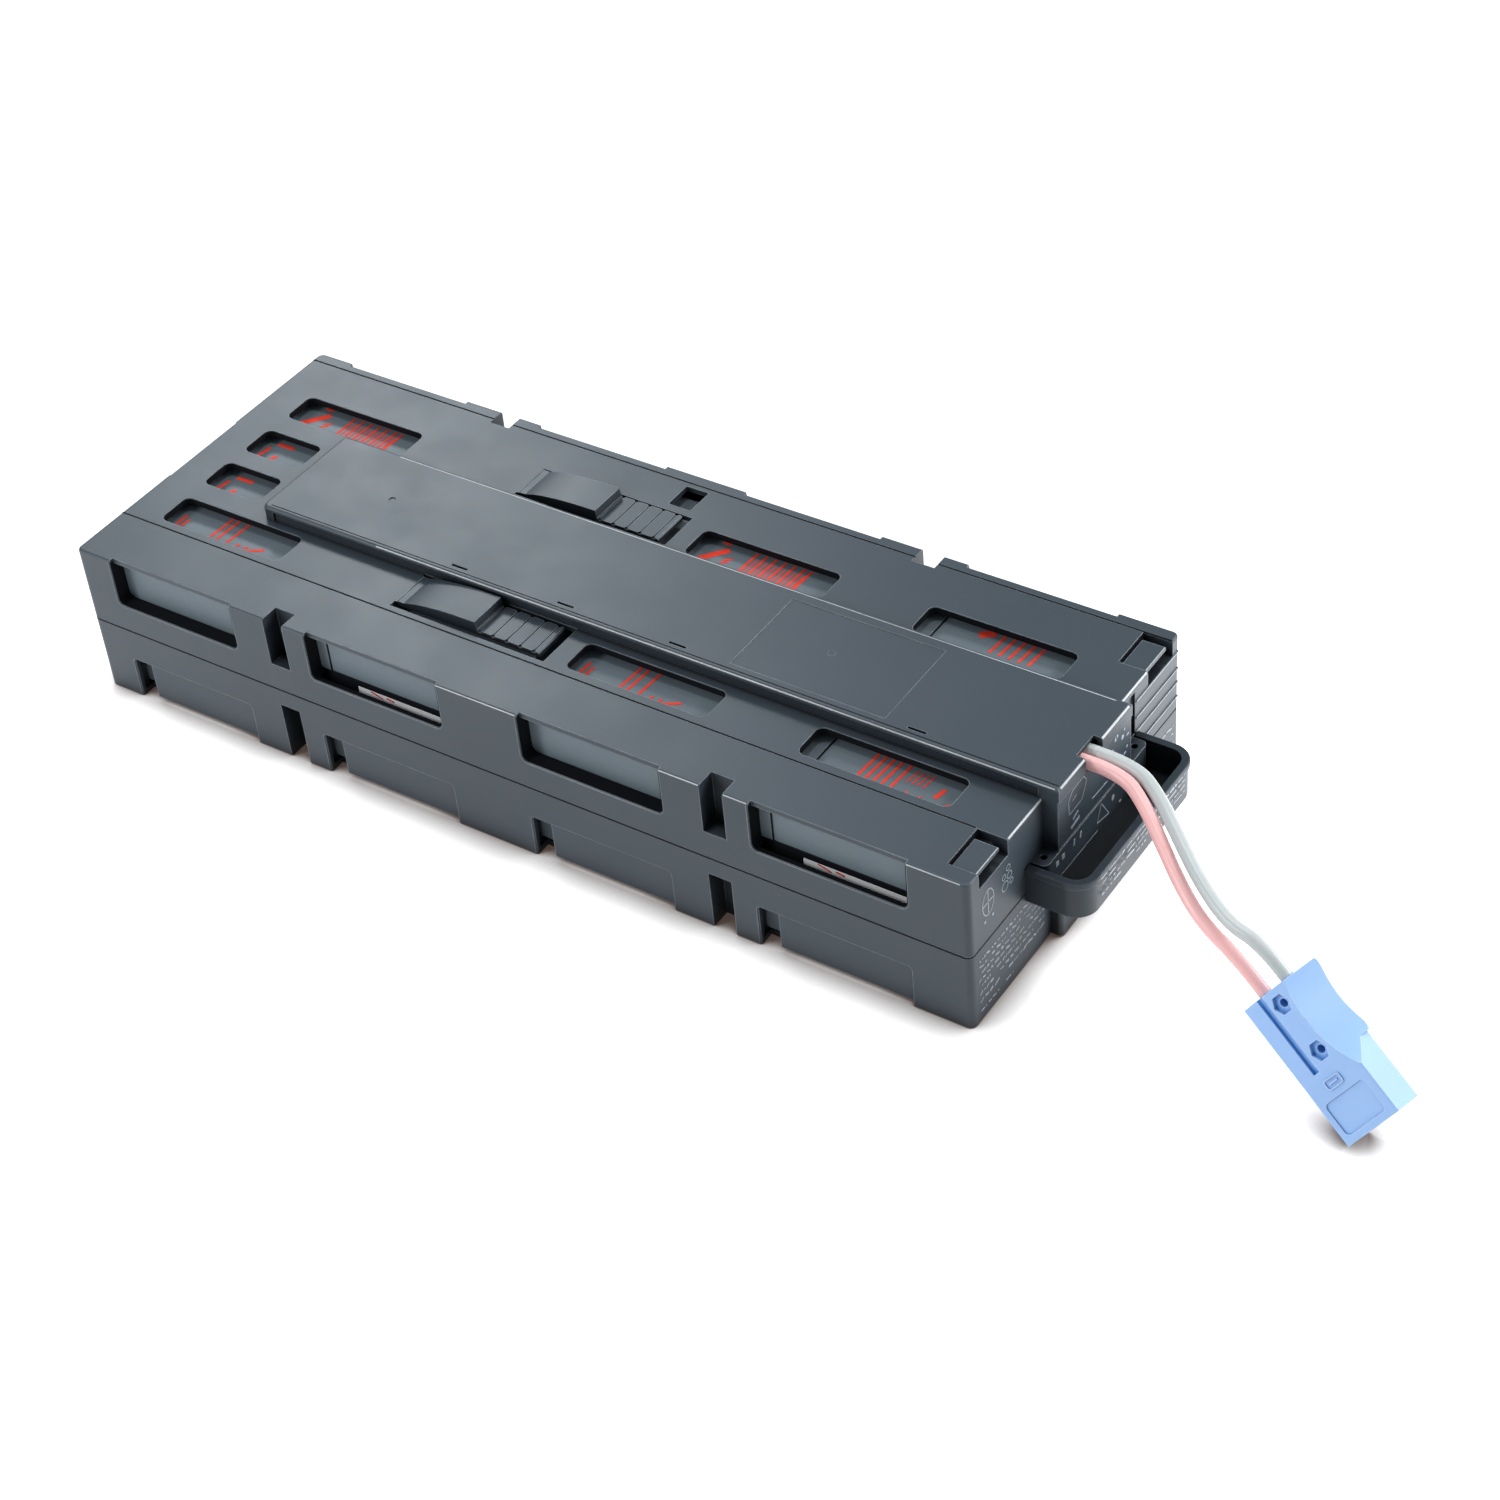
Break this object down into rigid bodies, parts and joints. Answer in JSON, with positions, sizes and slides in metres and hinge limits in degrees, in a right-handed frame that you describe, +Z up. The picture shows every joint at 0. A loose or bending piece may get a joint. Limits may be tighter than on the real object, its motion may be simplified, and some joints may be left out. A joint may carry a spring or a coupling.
{
  "type": "server rack battery cartridge",
  "caption": "Long flat battery cartridge: two moulded half shells round a row of sealed batteries, a raised wiring duct, latches, a pull tray and two leads with a connector.",
  "frame": {"origin": "middle of the underside of the shells and pull tray, on the surface the cartridge rests on", "axes": "+X along the cartridge towards the cable end, +Y towards the rear long side, +Z up"},
  "size_m": [0.5987, 0.165, 0.08],
  "materials": {
    "shell": "fine moulded texture, charcoal grey, semi-gloss edges",
    "battery": "grey ABS with a light satin sheen",
    "cell_plates": "stacked lead plates and glass-fibre separators, matte",
    "terminal": "tinned brass tabs",
    "receptacle": "insulated push-on receptacle, satin",
    "link_wire": "black flexible insulation",
    "fuse_black": "black moulded plastic",
    "positive_lead": "faded red flexible insulation, satin",
    "negative_lead": "light grey flexible insulation, satin",
    "plug": "light blue moulded plastic, semi-gloss",
    "contact": "silver-plated contact blades",
    "steel": "zinc-plated steel",
    "sticker": "plain white sticker",
    "foam": "closed-cell foam"
  },
  "bodies": {
    "root": {"battery_case_1": "battery", "battery_case_2": "battery", "battery_case_3": "battery", "battery_case_4": "battery", "battery_lid_1": "battery", "battery_lid_2": "battery", "battery_lid_3": "battery", "battery_lid_4": "battery", "battery_stickers": "sticker", "cable_clamp": "fuse_black", "duct_cover": "shell", "foam_spacers": "foam", "fuse_cap": "fuse_black", "fuse_holder": "fuse_black", "inner_negative_lead": "negative_lead", "inner_positive_lead": "positive_lead", "jumper_front": "link_wire", "jumper_rear": "link_wire", "link_from_fuse": "link_wire", "link_to_fuse": "link_wire", "lower_shell": "shell", "negative_lead": "negative_lead", "plate_stacks_1": "cell_plates", "plate_stacks_2": "cell_plates", "plate_stacks_3": "cell_plates", "plate_stacks_4": "cell_plates", "plug_contacts": "contact", "plug_housing": "plug", "positive_lead": "positive_lead", "pull_tray": "shell", "receptacles": "receptacle", "shell_screws": "steel", "terminals_1": "terminal", "terminals_2": "terminal", "terminals_3": "terminal", "terminals_4": "terminal", "tray_screws": "steel", "upper_shell": "shell", "vent_cover_1": "battery", "vent_cover_2": "battery", "vent_cover_3": "battery", "vent_cover_4": "battery"},
    "latch_front": {"latch_front": "shell"},
    "latch_rear": {"latch_rear": "shell"}
  },
  "joints": [
    {"name": "latch_front_press", "type": "hinge", "parent": "root", "child": "latch_front", "pos_m": [-0.085, -0.0375, 0.07245], "axis": [0, 1, 0], "range_deg": [0, 2.7], "stiffness_Nm_per_rad": 18},
    {"name": "latch_rear_press", "type": "hinge", "parent": "root", "child": "latch_rear", "pos_m": [-0.085, 0.0465, 0.07245], "axis": [0, 1, 0], "range_deg": [0, 2.7], "stiffness_Nm_per_rad": 18}
  ]
}
